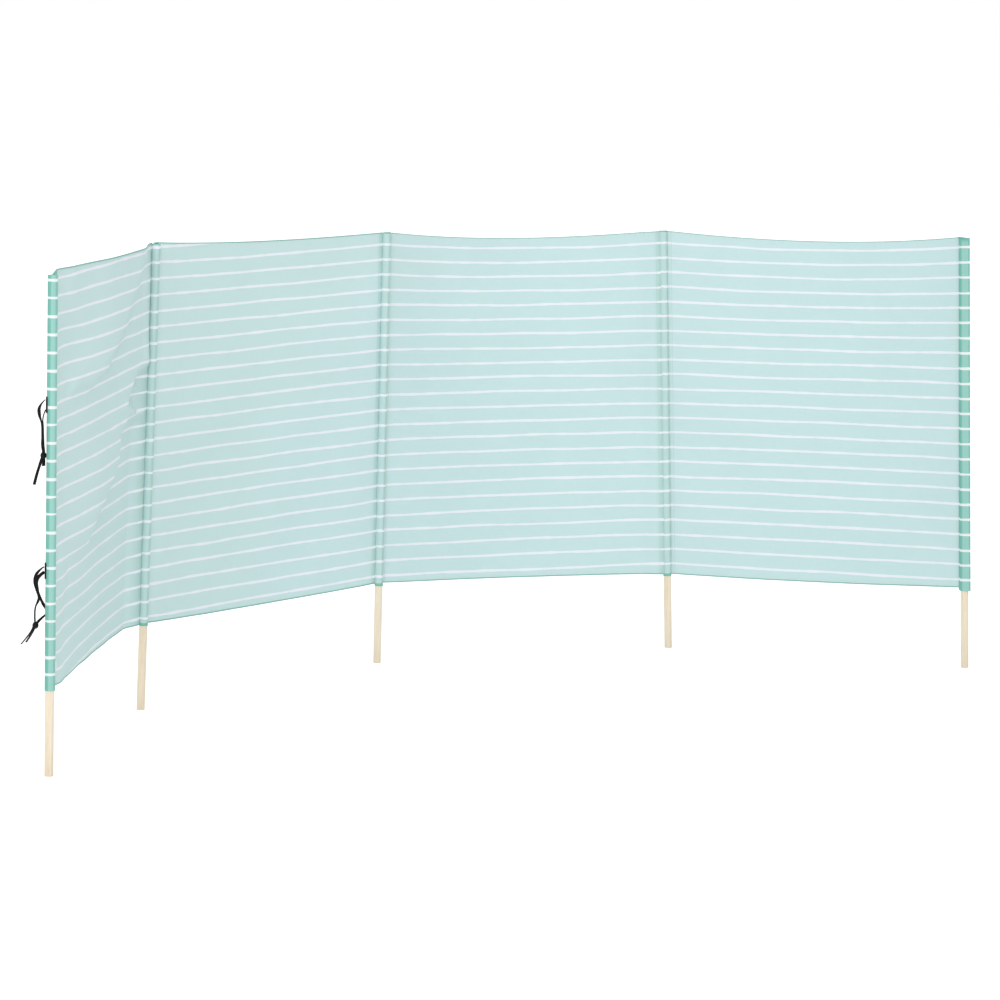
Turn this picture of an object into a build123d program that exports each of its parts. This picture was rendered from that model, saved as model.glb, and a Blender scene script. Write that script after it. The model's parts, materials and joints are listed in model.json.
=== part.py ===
"""Beach windbreak: four cloth bays sewn into one strip on five round wooden poles.

Millimetres, +Z up. The origin is the centre of the middle pole's foot. The bays run towards +X,
and somebody in front of the middle pole who looks along +Y sees the inner side of the cloth.
Every pole leans a little, as poles pushed into sand by hand do. The strip folds at its three
inner poles.
"""

import os
from math import cos, radians, sin, sqrt, tan

from build123d import *

os.makedirs("parts", exist_ok=True)

# Poles: plain dowels with square ends
POLE_LENGTH = 1400.0
POLE_TRIMS = [-22.0, 15.0, 7.0, -1.0, -8.0]   # how much higher than that each pole stands
POLE_DIAMETER = 25.0

# Cloth strip. Its edges differ from pole to pole, because the cloth has crept along them
CLOTH_BOTTOMS = [250.0, 266.0, 265.0, 252.0, 263.0]
CLOTH_RISES = [13.0, 5.0, 3.0, 3.0, 6.0]      # upper edge above each sleeve's closed end
TOP_SAGS = [4.0, 8.0, 22.0, 20.0]             # dip of each bay's upper edge at its middle
CLOTH_THICKNESS = 2.0
HEM_HEIGHT = 12.0
HEM_THICKNESS = 3.2

# Sleeves that hold the poles: closed at the top, open at the bottom
SLEEVE_DROPS = [11.0, 4.0, 8.0, 6.0, 10.0]    # open end below the cloth's lower edge
SLEEVE_WALL = 1.2
SLEEVE_PLAY = 0.3             # between the pole and its sleeve
SLEEVE_CAP = 1.5              # cloth folded over the pole's end
END_SEAM = 34.0               # from an end pole's axis to the seam of its sleeve
FOLD_GAP = 0.3                # between a sleeve and the cloth that turns round it

# Plan of the strip as set up: distance from pole to pole and heading of each bay, in degrees
BAY_SPANS = [930.0, 1035.0, 1012.0, 1014.0]
BAY_HEADINGS = [80.8, 48.2, 16.1, -20.9]
BAY_BOWS = [(55.0, 30.0), (60.0, 60.0), (110.0, 170.0), (110.0, 150.0)]   # at the foot and the top
MIDDLE_POLE = 2
# How far each pole's top stands from above its foot, along X and Y
POLE_LEANS = [(36.0, 8.0), (72.0, -39.0), (39.0, 4.0), (-27.0, -3.0), (-25.0, 27.0)]

# Ties on the outer side of the first pole's sleeve: flat tape, knotted, two loose ends each
TAPE_WIDTH = 10.0
PATCH_SIZE = (4.0, 24.0, 44.0)
PATCH_ROUND = 1.5
KNOT_SIZE = (13.0, 24.0, 15.0)
KNOT_ROUND = 4.0
# Each tape's route: how far it stands off the first sleeve's outer side if negative, its offset
# along Y from the pole's axis, and its height
TAPE_ROUTES = {
    "upper_tie_long_strand": [
        (-6, -6, 1042), (-20, -8, 1026), (-19, -8, 1000), (-11, -8, 978), (-10, -8, 940),
        (-11, -7, 918), (-7, -6, 895)],
    "upper_tie_short_strand": [
        (-6, 6, 1014), (-13, 8, 992), (-9, 8, 965), (-9, 7, 925), (-7, 6, 895)],
    "upper_tie_long_tail": [(-10, -6, 883), (-17, -8, 862), (-24, -10, 839), (-31, -10, 810)],
    "upper_tie_short_tail": [(-7, 6, 883), (-8, 7, 871), (-8, 8, 859)],
    "lower_tie_long_strand": [
        (-6, -6, 584), (-20, -8, 572), (-28, -8, 552), (-25, -8, 528), (-17, -8, 505),
        (-16, -8, 492), (-27, -7, 472), (-27, -7, 440), (-26, -6, 427)],
    "lower_tie_short_strand": [
        (-6, 6, 568), (-20, 8, 556), (-27, 8, 538), (-22, 8, 515), (-14, 8, 494),
        (-7, 10, 478), (2, 16, 464), (2, 16, 450), (-10, 9, 440), (-23, 6, 427)],
    "lower_tie_long_tail": [(-30, -6, 416), (-41, -8, 397), (-64, -10, 370)],
    "lower_tie_short_tail": [(-28, 6, 416), (-37, 8, 396), (-53, 9, 372)],
}
KNOT_PLACES = {"upper_tie_knot": (-7.5, 0, 889), "lower_tie_knot": (-26, 0, 421)}
PATCH_HEIGHTS = {"upper_tie_patch": 1027.0, "lower_tie_patch": 572.0}

# Seam tab: a plain folded tape end at the foot of the first bay
TAB_WIDTH = 12.0
TAB_THICKNESS = 1.4
TAB_HEIGHT = 26.0
TAB_BOTTOM = 287.0

EDGE_SPARE = 100.0            # how far the blocks that cut the cloth to size reach past it
BAND_REACH = 400.0            # half the thickness of the blocks that cut the cloth to height
POLE_RADIUS = POLE_DIAMETER / 2
SLEEVE_INNER = POLE_RADIUS + SLEEVE_PLAY
SLEEVE_OUTER = SLEEVE_INNER + SLEEVE_WALL
FOLD_EDGE = SLEEVE_OUTER + FOLD_GAP
BAYS = range(len(BAY_SPANS))
POLES = range(len(BAY_SPANS) + 1)
POLE_HEIGHTS = [POLE_LENGTH + trim for trim in POLE_TRIMS]
SLEEVE_TOPS = [height + SLEEVE_PLAY + SLEEVE_CAP for height in POLE_HEIGHTS]
SLEEVE_BOTTOMS = [bottom - drop for bottom, drop in zip(CLOTH_BOTTOMS, SLEEVE_DROPS)]
CLOTH_TOPS = [top + rise for top, rise in zip(SLEEVE_TOPS, CLOTH_RISES)]
LAYER_LOW = min(SLEEVE_BOTTOMS) - EDGE_SPARE
LAYER_HIGH = max(CLOTH_TOPS) + EDGE_SPARE


def pole_feet():
    """The centres of the poles' feet, from the spans and headings out from the middle pole."""
    steps = [Vector(span * cos(radians(a)), span * sin(radians(a)), 0)
             for span, a in zip(BAY_SPANS, BAY_HEADINGS)]
    feet = [Vector(0, 0, 0)]
    for step in steps:
        feet.append(feet[-1] + step)
    return [foot - feet[MIDDLE_POLE] for foot in feet]


FEET = pole_feet()


def on_pole(pole, height):
    """The point of a pole's axis at a height above the ground."""
    lean_x, lean_y = POLE_LEANS[pole]
    share = height / POLE_HEIGHTS[pole]
    return FEET[pole] + Vector(lean_x * share, lean_y * share, height)


def pole_axis(pole):
    return (on_pole(pole, POLE_HEIGHTS[pole]) - on_pole(pole, 0)).normalized()


def round_bar(pole, low, high, radius):
    """A cylinder on a pole's axis between two heights."""
    base = Plane(origin=on_pole(pole, low), z_dir=pole_axis(pole))
    return extrude(base * Circle(radius), (on_pole(pole, high) - on_pole(pole, low)).length)


def bay_section(bay, height, inner, outer, start, end):
    """The level outline of a layer of a bay's cloth, between two distances from the middle of the
    cloth, negative towards the sheltered side. Start and end are measured straight from pole to
    pole: from the left axis, or back from the right one if negative."""
    left, right = on_pole(bay, height), on_pole(bay + 1, height)
    span = (right - left).length
    along = (right - left).normalized()
    side = Vector(-along.Y, along.X, 0)
    foot_bow, top_bow = BAY_BOWS[bay]
    bow = foot_bow + (top_bow - foot_bow) * (height - LAYER_LOW) / (LAYER_HIGH - LAYER_LOW)
    radius = bow / 2 + span ** 2 / (8 * bow)
    centre = (left + right) * 0.5 - side * (radius - bow)
    first, last = (place - span / 2 if place > 0 else place + span / 2 for place in (start, end))
    curves = []
    for offset in (inner, outer):
        points = [along * x + side * sqrt(radius ** 2 - x ** 2) for x in (first, (first + last) / 2, last)]
        curves.append(ThreePointArc(*(centre + p * ((radius + offset) / radius) for p in points)))
    near, far = curves
    return Wire([near, Line(near @ 1, far @ 1), far, Line(far @ 0, near @ 0)])


def layer(bay, inner, outer, start=1, end=-1):
    """A ruled layer of a bay's cloth that follows both leaning poles and reaches past its edges."""
    return Solid.make_loft([bay_section(bay, LAYER_LOW, inner, outer, start, end),
                            bay_section(bay, LAYER_HIGH, inner, outer, start, end)], ruled=True)


def level_block(low, high):
    """Everything between two heights."""
    return Pos(0, 0, (low + high) / 2) * Box(1e4, 1e4, high - low)


def edge_line(bay, heights, rise, sag):
    """One edge of the cloth in its bay's upright plane, a little longer than the bay: the heights at
    the two poles, raised, with a sag between them."""
    slope = (heights[bay + 1] - heights[bay]) / BAY_SPANS[bay]
    middle = (heights[bay] + heights[bay + 1]) / 2 + rise - sag
    half = BAY_SPANS[bay] / 2
    reach = half + EDGE_SPARE
    lift = sag * (reach / half) ** 2
    ends = [(x, middle + lift + slope * x) for x in (-reach, reach)]
    return ThreePointArc(ends[0], (0, middle), ends[1]) if sag else Line(*ends)


def band(bay, low, high):
    """A thick block between two edge lines of a bay, which cuts a strip to its height."""
    centre = (FEET[bay] + FEET[bay + 1]) * 0.5
    along = (FEET[bay + 1] - FEET[bay]).normalized()
    upright = Plane(origin=centre, x_dir=along, z_dir=Vector(along.Y, -along.X, 0))
    lower, upper = edge_line(bay, *low), edge_line(bay, *high)
    outline = [lower, Line(lower @ 1, upper @ 1), upper, Line(upper @ 0, lower @ 0)]
    return extrude(upright * make_face(outline), BAND_REACH, both=True)


def cloth_piece(bay, thickness, low, high):
    """A bay's cloth between two edge lines, from sleeve to sleeve."""
    start = END_SEAM if bay == BAYS[0] else 1
    end = -END_SEAM if bay == BAYS[-1] else -1
    cloth = layer(bay, -thickness / 2, thickness / 2, start, end) & band(bay, low, high)
    for pole in POLES[1:-1]:
        if pole in (bay, bay + 1):
            cloth -= round_bar(pole, LAYER_LOW - 50, LAYER_HIGH + 50, FOLD_EDGE)
    return cloth


def sleeve(pole):
    """A closed-top tube of cloth, which at the strip's two ends has a web out to its seam."""
    low, high = SLEEVE_BOTTOMS[pole], SLEEVE_TOPS[pole]
    body = round_bar(pole, low, high, SLEEVE_OUTER)
    if pole in (POLES[0], POLES[-1]):
        bay, ends = (BAYS[0], (1, END_SEAM)) if pole == POLES[0] else (BAYS[-1], (-END_SEAM, -1))
        web = layer(bay, -HEM_THICKNESS / 2, HEM_THICKNESS / 2, *ends)
        body += web & level_block(low, high)
    return body - round_bar(pole, low - 50, POLE_HEIGHTS[pole] + SLEEVE_PLAY, SLEEVE_INNER)


def beside_first_pole(place):
    """A point beside the first sleeve, given as the tapes' routes are."""
    x, y, height = place
    return on_pole(0, height) + Vector(x - SLEEVE_OUTER, y, 0)


def tape(node):
    """A tape's plain round stand-in: straight runs joined by tangent arcs."""
    points = [beside_first_pole(p) for p in TAPE_ROUTES[node]]
    runs = [b - a for a, b in zip(points, points[1:])]
    radii = [0.45 * min(a.length, b.length) / tan(radians(a.get_angle(b)) / 2)
             for a, b in zip(runs, runs[1:])]
    path = FilletPolyline(*points, radius=radii) if radii else Line(*points)
    section = Plane(origin=path @ 0, z_dir=path % 0) * Circle(TAPE_WIDTH / 2)
    solid = sweep(section, path=path)
    print(node, "length", round(path.length, 1), "radii", [round(r) for r in radii],
          "volume / section x length", round(solid.volume / (section.area * path.length), 4))
    return solid


def rounded_block(size, place, radius):
    block = Pos(*place) * Box(*size)
    return fillet(block.edges(), radius) if radius else block


def save(solid, node):
    export_step(solid, f"parts/{node}.step")
    print(f"{node}: {solid.volume:.0f} mm3")


for pole in POLES:
    save(round_bar(pole, 0, POLE_HEIGHTS[pole], POLE_RADIUS), f"pole_{pole + 1}")
    save(sleeve(pole), f"sleeve_{pole + 1}")

for bay in BAYS:
    hem_low, hem_high = (CLOTH_BOTTOMS, 0, 0), (CLOTH_BOTTOMS, HEM_HEIGHT, 0)
    top_low, top_high = (CLOTH_TOPS, -HEM_HEIGHT, TOP_SAGS[bay]), (CLOTH_TOPS, 0, TOP_SAGS[bay])
    save(cloth_piece(bay, HEM_THICKNESS, hem_low, hem_high), f"bottom_hem_{bay + 1}")
    save(cloth_piece(bay, CLOTH_THICKNESS, hem_high, top_low), f"panel_{bay + 1}")
    save(cloth_piece(bay, HEM_THICKNESS, top_low, top_high), f"top_hem_{bay + 1}")

for node in TAPE_ROUTES:
    save(tape(node), node)
for node, place in KNOT_PLACES.items():
    save(rounded_block(KNOT_SIZE, beside_first_pole(place), KNOT_ROUND), node)
for node, height in PATCH_HEIGHTS.items():
    offset = -(SLEEVE_OUTER + FOLD_GAP + PATCH_SIZE[0] / 2)
    seat = Plane(origin=on_pole(0, height), x_dir=(1, 0, 0), z_dir=pole_axis(0))
    save(seat * rounded_block(PATCH_SIZE, (offset, 0, 0), PATCH_ROUND), node)

tab_inner = -(CLOTH_THICKNESS / 2 + FOLD_GAP)
tab = layer(BAYS[0], tab_inner - TAB_THICKNESS, tab_inner, END_SEAM + FOLD_GAP, END_SEAM + TAB_WIDTH)
save(tab & level_block(TAB_BOTTOM, TAB_BOTTOM + TAB_HEIGHT), "seam_tab")

for pole in POLES:
    print("pole", pole + 1, "foot", [round(v, 1) for v in FEET[pole]], "axis",
          [round(v, 5) for v in pole_axis(pole)])
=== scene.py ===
import json
from math import acos, atan2, cos, exp, hypot, pi, radians, sin, sqrt

import bpy
from mathutils import Matrix, Vector, noise


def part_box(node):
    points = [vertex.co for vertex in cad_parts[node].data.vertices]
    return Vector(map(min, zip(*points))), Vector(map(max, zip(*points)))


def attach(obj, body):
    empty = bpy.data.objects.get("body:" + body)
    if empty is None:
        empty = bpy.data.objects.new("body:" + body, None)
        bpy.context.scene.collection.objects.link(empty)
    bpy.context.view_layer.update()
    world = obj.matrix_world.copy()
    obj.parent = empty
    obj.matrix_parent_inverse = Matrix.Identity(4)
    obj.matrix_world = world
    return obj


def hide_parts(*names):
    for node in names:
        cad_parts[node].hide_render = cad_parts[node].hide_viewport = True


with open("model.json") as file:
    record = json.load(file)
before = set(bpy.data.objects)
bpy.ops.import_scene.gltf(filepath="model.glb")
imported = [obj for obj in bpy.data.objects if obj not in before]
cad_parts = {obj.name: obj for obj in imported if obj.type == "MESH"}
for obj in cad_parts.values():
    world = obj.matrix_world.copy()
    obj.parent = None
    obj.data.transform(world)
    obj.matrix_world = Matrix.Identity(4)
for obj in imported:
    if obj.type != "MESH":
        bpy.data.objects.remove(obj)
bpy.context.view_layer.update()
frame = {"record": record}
record = frame["record"]
body_of = {node: body for body, nodes in record["behaviour"]["bodies"].items() for node in nodes}


# CAMERA
# Someone on the sheltered side looks at the strip from ten metres away and a little above its top,
# through a long lens that takes in the whole of it.
EYE = (0.4045, -10.1898, 1.9121)
EYE_PITCH = 7.67              # degrees below level
EYE_LENS, EYE_SENSOR = 113.4, 36.0            # in millimetres

lens = bpy.data.cameras.new("eye")
lens.sensor_width = EYE_SENSOR
lens.lens = EYE_LENS
eye = bpy.data.objects.new("eye", lens)
eye.location = EYE
eye.rotation_euler = (radians(90.0 - EYE_PITCH), 0.0, 0.0)
bpy.context.scene.collection.objects.link(eye)
bpy.context.scene.camera = eye


# POLE LINES
# The five dowels stand in sand, each leaning its own way. Everything else of the strip is measured
# from them: the foot mounts in the record give each pole's foot and the way that it leans.
FOOT_MOUNTS = ["pole_1_foot", "pole_2_foot", "middle_foot", "pole_4_foot", "pole_5_foot"]
POLES = range(5)
BAYS = range(4)

mounts = {mount["name"]: mount for mount in record["mounts"]}
pole_lines = [(Vector(mounts[name]["pos_m"]), -Vector(mounts[name]["axis"])) for name in FOOT_MOUNTS]


def on_pole(pole, height):
    """The point of a pole's axis at a height above the ground."""
    foot, axis = pole_lines[pole]
    return foot + axis * ((height - foot.z) / axis.z)


def tilt_rise(pole, radius):
    """How much a round section's high side stands above its middle, because the pole leans."""
    return radius * sqrt(1.0 - pole_lines[pole][1].z ** 2)


# TIES: TAPE
# Four lengths of flat black woven tape hang off the first sleeve, two from each patch. Each pair is
# knotted once, and its loose ends hang below the knot, cut square.
TAPE_WIDTH = 0.010
TAPE_THICKNESS = 0.0008
TAPE_COLUMNS = 4
TAPE_YARN = 0.0011
TAPE_RIB = 0.0016             # from one rib across the tape to the next
SELVEDGE = 0.0011             # the breadth of the thicker edge on each side
TAPE_RELIEF = 0.00012
TAPE_SURFACE = (0.75, 0.03, 0.2)              # how rough it is, its sheen and its gloss
SLEEVE_SURFACE = 0.014        # from a pole's axis to the outside of its sleeve
# The points of each tape's route, as its solid has them in the frame: how far along X from the outer
# side of the sleeve, negative away from the strip, how far along Y from the pole, and the height.
TAPE_ROUTES = {
    "upper_tie_long": [
        (-0.0032, -0.006, 1.042), (-0.020, -0.008, 1.026), (-0.019, -0.008, 1.000),
        (-0.011, -0.008, 0.978), (-0.010, -0.008, 0.940), (-0.011, -0.007, 0.918),
        (-0.007, -0.006, 0.895), (-0.010, -0.006, 0.883), (-0.017, -0.008, 0.862),
        (-0.024, -0.010, 0.839), (-0.031, -0.010, 0.810)],
    "upper_tie_short": [
        (-0.0032, 0.006, 1.014), (-0.013, 0.008, 0.992), (-0.009, 0.008, 0.965),
        (-0.009, 0.007, 0.925), (-0.007, 0.006, 0.895), (-0.007, 0.006, 0.883),
        (-0.008, 0.007, 0.871), (-0.008, 0.008, 0.859)],
    "lower_tie_long": [
        (-0.0032, -0.006, 0.584), (-0.020, -0.008, 0.572), (-0.028, -0.008, 0.552),
        (-0.025, -0.008, 0.528), (-0.017, -0.008, 0.505), (-0.016, -0.008, 0.492),
        (-0.027, -0.007, 0.472), (-0.027, -0.007, 0.440), (-0.026, -0.006, 0.427),
        (-0.030, -0.006, 0.416), (-0.041, -0.008, 0.397), (-0.064, -0.010, 0.370)],
    "lower_tie_short": [
        (-0.0032, 0.006, 0.568), (-0.020, 0.008, 0.556), (-0.027, 0.008, 0.538),
        (-0.022, 0.008, 0.515), (-0.014, 0.008, 0.494), (-0.007, 0.010, 0.478),
        (0.002, 0.016, 0.464), (0.002, 0.016, 0.450), (-0.010, 0.009, 0.440),
        (-0.023, 0.006, 0.427), (-0.028, 0.006, 0.416), (-0.037, 0.008, 0.396),
        (-0.053, 0.009, 0.372)],
}
# How far each tape has turned about its own line, in degrees, at even steps from patch to end. At 0
# it is edge-on to the sheltered side.
TAPE_TWISTS = {
    "upper_tie_long": [10, 55, 15, 20, 25, 20, 50, 40, 45],
    "upper_tie_short": [10, 8, 5, 15, 30, 20, 45, 60],
    "lower_tie_long": [20, 50, 70, 30, 20, 35, 16, 15, 16, 40, 26, 16],
    "lower_tie_short": [60, 75, 70, 25, 30, 42, 40, 20, 35, 45, 30, 26, 24],
}


def beside_first_pole(off, sideways, height):
    """Where a point of a tape's route is."""
    return on_pole(0, height) + Vector((off - SLEEVE_SURFACE, sideways, 0.0))


def put(tree, kind, *feeds, **settings):
    """Adds a node with its settings. What feeds its inputs, in order, is a socket, a value or None."""
    node = tree.nodes.new("ShaderNode" + kind)
    for key, value in settings.items():
        setattr(node, key, value)
    for socket, feed in zip(node.inputs, feeds):
        if isinstance(feed, bpy.types.NodeSocket):
            tree.links.new(feed, socket)
        elif feed is not None:
            socket.default_value = feed
    return node


def reckon(tree, operation, *feeds):
    """What a sum on numbers comes to."""
    return put(tree, "Math", *feeds, operation=operation).outputs[0]


def tint(tree, share, plain, other):
    """A mix of two colours, which are the seventh and eighth inputs of a Mix node."""
    return put(tree, "Mix", share, *[None] * 5, plain, other, data_type="RGBA").outputs[2]


def shade(red, green, blue):
    """A colour as a paint chart gives it, 0 to 255 a channel, for a node's socket."""
    channels = (value / 255.0 for value in (red, green, blue))
    return tuple(c / 12.92 if c <= 0.04045 else ((c + 0.055) / 1.055) ** 2.4 for c in channels) + (1.0,)


def new_group(name, takes, gives):
    """An empty node group with its inputs and outputs, and the two nodes that carry them."""
    group = bpy.data.node_groups.new(name, "ShaderNodeTree")
    for label, kind in takes:
        group.interface.new_socket(label, in_out="INPUT", socket_type="NodeSocket" + kind)
    for label, kind in gives:
        group.interface.new_socket(label, in_out="OUTPUT", socket_type="NodeSocket" + kind)
    return group, group.nodes.new("NodeGroupInput"), group.nodes.new("NodeGroupOutput")


def use_group(tree, group, *feeds):
    return put(tree, "Group", *feeds, node_tree=group)


def mottle(tree, where, times, detail, rough=0.5):
    """Noise that changes so many times a metre."""
    return put(tree, "TexNoise", where, None, times, detail, rough, noise_dimensions="3D").outputs[0]


def streaks(tree, where, times, detail, rough=0.5):
    """The same drawn out, so many times a metre along each axis."""
    drawn = put(tree, "VectorMath", where, times, operation="MULTIPLY")
    return mottle(tree, drawn.outputs[0], 1.0, detail, rough)


def new_finish(name, roughness, sheen=0.0, gloss=0.5):
    """A material with its own shader, whose plain values are set on the shader itself."""
    finish = bpy.data.materials.new(name)
    finish.use_nodes = True
    shader = finish.node_tree.nodes["Principled BSDF"]
    shader.inputs["Roughness"].default_value = roughness
    shader.inputs["Sheen Weight"].default_value = sheen
    shader.inputs["Sheen Roughness"].default_value = 0.5
    shader.inputs["Specular IOR Level"].default_value = gloss
    return finish, finish.node_tree, shader


def finish_with(tree, shader, colour, height, depth):
    """Feeds the shader its colour, and a bump of a depth in metres."""
    tree.links.new(colour, shader.inputs["Base Color"])
    bump = put(tree, "Bump", 1.0, depth)
    tree.links.new(height, bump.inputs["Height"])
    tree.links.new(bump.outputs[0], shader.inputs["Normal"])


SLUB_STRETCHES = (35.0, 1100.0)               # in a metre, along a yarn and across it


def weave_group():
    """Plain weave: yarns that go over and under each other, with thick and thin stretches."""
    group, given, out = new_group(
        "plain_weave", [("Cloth", "Vector"), ("Yarn", "Float")], [("Height", "Float"), ("Slub", "Float")])
    place = put(group, "SeparateXYZ", given.outputs["Cloth"]).outputs
    turn = reckon(group, "DIVIDE", pi, given.outputs["Yarn"])
    warp = reckon(group, "SINE", reckon(group, "MULTIPLY", place[0], turn))
    weft = reckon(group, "SINE", reckon(group, "MULTIPLY", place[1], turn))
    group.links.new(reckon(group, "MULTIPLY", warp, weft), out.inputs["Height"])
    slubs = [streaks(group, given.outputs["Cloth"], (*times, 0.0), 1.0)
             for times in (SLUB_STRETCHES, SLUB_STRETCHES[::-1])]
    slub = reckon(group, "MULTIPLY_ADD", reckon(group, "ADD", *slubs), 0.5, 0.0)
    group.links.new(slub, out.inputs["Slub"])
    return group


plain_weave = weave_group()
TAPE_BLACK = shade(7, 7, 8)
TAPE_WORN = shade(24, 25, 26)


def tape_finish():
    """Black tape: ribs across its width, and a thicker woven edge on each side."""
    finish, tree, shader = new_finish("black_tape", *TAPE_SURFACE)
    own = put(tree, "UVMap").outputs[0]
    weave = use_group(tree, plain_weave, own, TAPE_YARN)
    place = put(tree, "SeparateXYZ", own).outputs
    rib = reckon(tree, "SINE", reckon(tree, "MULTIPLY", place[1], 2.0 * pi / TAPE_RIB))
    edge = reckon(tree, "GREATER_THAN", reckon(tree, "ABSOLUTE", place[0]), TAPE_WIDTH / 2 - SELVEDGE)
    height = reckon(tree, "MULTIPLY_ADD", rib, 0.5, reckon(tree, "ADD", weave.outputs["Height"], edge))
    colour = tint(tree, weave.outputs["Slub"], TAPE_BLACK, TAPE_WORN)
    finish_with(tree, shader, colour, height, TAPE_RELIEF)
    return finish


black_tape = tape_finish()
SMOOTH_ANGLE = radians(50.0)
WELD = 0.00002                # points nearer to each other than this become one


def smooth(low, high, value):
    """0 below low, 1 above high, and an easy rise between them."""
    share = min(max((value - low) / (high - low), 0.0), 1.0)
    return share * share * (3.0 - 2.0 * share)


def between(values, share):
    """A value an even step along a list, eased from one entry to the next."""
    place = min(max(share, 0.0), 1.0) * (len(values) - 1)
    step = min(int(place), len(values) - 2)
    return values[step] + (values[step + 1] - values[step]) * smooth(0.0, 1.0, place - step)


def lay_cloth(name, columns, rows, place, finishes, notes=(), closed=False, finish_of=None):
    """A flat woven piece: a grid whose points are moved to where place() says, by their shares across
    and up. place() gives a point and its place on the cloth in metres, then the values of the notes."""
    bpy.ops.object.select_all(action="DESELECT")
    bpy.ops.mesh.primitive_grid_add(x_subdivisions=columns, y_subdivisions=rows, size=1.0)
    piece = bpy.context.object
    piece.name = piece.data.name = name
    shares = [(round((v.co.x + 0.5) * columns) / columns, round((v.co.y + 0.5) * rows) / rows)
              for v in piece.data.vertices]
    laid = [place(*share) for share in shares]
    for vertex, (point, *_) in zip(piece.data.vertices, laid):
        vertex.co = point
    own = piece.data.uv_layers.active.data
    for loop in piece.data.loops:
        own[loop.index].uv = laid[loop.vertex_index][1]
    for number, note in enumerate(notes):
        piece.data.attributes.new(note, "FLOAT", "POINT").data.foreach_set(
            "value", [spot[2 + number] for spot in laid])
    for finish in finishes:
        piece.data.materials.append(finish)
    if finish_of:
        for face in piece.data.polygons:
            corners = [shares[corner] for corner in face.vertices]
            face.material_index = finish_of(sum(c[0] for c in corners) / 4, sum(c[1] for c in corners) / 4)
    if closed:
        edit(piece)
        bpy.ops.mesh.remove_doubles(threshold=WELD)
        bpy.ops.mesh.normals_make_consistent(inside=False)
        bpy.ops.object.mode_set(mode="OBJECT")
    return piece


def choose(piece):
    """Selects one piece alone, and makes it the active one."""
    bpy.ops.object.select_all(action="DESELECT")
    bpy.context.view_layer.objects.active = piece
    piece.select_set(True)


def edit(piece):
    """Opens a piece for editing, all of it selected."""
    choose(piece)
    bpy.ops.object.mode_set(mode="EDIT")
    bpy.ops.mesh.select_all(action="SELECT")


def apply_all(piece):
    """Makes a piece's modifiers part of its mesh, and shades it smooth."""
    choose(piece)
    for modifier in list(piece.modifiers):
        bpy.ops.object.modifier_apply(modifier=modifier.name)
    bpy.ops.object.shade_smooth_by_angle(angle=SMOOTH_ANGLE)
    return piece


def thicken(piece, thickness, offset=0.0, back=0):
    """Gives cloth its thickness. back is how many finishes further its other side's is."""
    wall = piece.modifiers.new("thickness", "SOLIDIFY")
    wall.thickness = thickness
    wall.offset = offset
    wall.material_offset = back
    wall.material_offset_rim = back
    return apply_all(piece)


def spline_points(route):
    """The points of the smooth line that a tape takes over its route."""
    curve = bpy.data.curves.new("tape_line", "CURVE")
    curve.dimensions = "3D"
    spline = curve.splines.new("NURBS")
    spline.points.add(len(route) - 1)
    for knot, place in zip(spline.points, route):
        knot.co = (*place, 1.0)
    spline.order_u = 3
    spline.use_endpoint_u = True
    spline.resolution_u = 10
    line = bpy.data.objects.new("tape_line", curve)
    bpy.context.scene.collection.objects.link(line)
    mesh = bpy.data.meshes.new_from_object(line)
    points = [vertex.co.copy() for vertex in mesh.vertices]
    bpy.data.objects.remove(line)
    bpy.data.meshes.remove(mesh)
    return points


def tape(name, points, twists):
    """A flat tape along a line of points, turned about it as it goes."""
    lengths = [0.0]
    for here, there in zip(points, points[1:]):
        lengths.append(lengths[-1] + (there - here).length)

    def place(across, along):
        step = round(along * (len(points) - 1))
        ahead = (points[min(step + 1, len(points) - 1)] - points[max(step - 1, 0)]).normalized()
        flat = (Vector((0.0, 1.0, 0.0)) - ahead * ahead.y).normalized()
        turn = radians(between(twists, along))
        width = flat * cos(turn) + ahead.cross(flat) * sin(turn)
        side = (across - 0.5) * TAPE_WIDTH
        return points[step] + width * side, (side, lengths[step])

    ribbon = lay_cloth(name, TAPE_COLUMNS, len(points) - 1, place, [black_tape])
    return thicken(ribbon, TAPE_THICKNESS), lengths[-1]


tapes = {}
for name, route in TAPE_ROUTES.items():
    line = spline_points([beside_first_pole(*place) for place in route])
    piece, reach = tape(name, line, TAPE_TWISTS[name])
    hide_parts(name + "_strand", name + "_tail")
    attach(piece, body_of["pole_1"])
    tapes[name] = (piece, line, reach)


# TIES: KNOTS
# Both tapes of a tie go once round each other and are pulled tight, so that the knot is a lump of
# folded tape with a turn showing over each of its sides.
KNOT_VOXEL = 0.0007
KNOT_BULK = 1.3               # a loose knot, bulkier than its plain solid
KNOT_CORE = (0.0085, 0.0145, 0.0105)          # its three diameters
TURN_RADIUS, TURN_SECTION = 0.0050, 0.0019    # of a turn of folded tape, and of its own section
TURN_STRETCH = (0.85, 1.25, 1.25)
# The turns that show: how each is tilted and turned, in degrees, and how far along Y it lies
KNOT_TURNS = [(62.0, 12.0, -0.0022), (-58.0, -10.0, 0.0024), (8.0, 84.0, 0.0)]
CRUMPLES = 420.0              # in a metre


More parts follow.
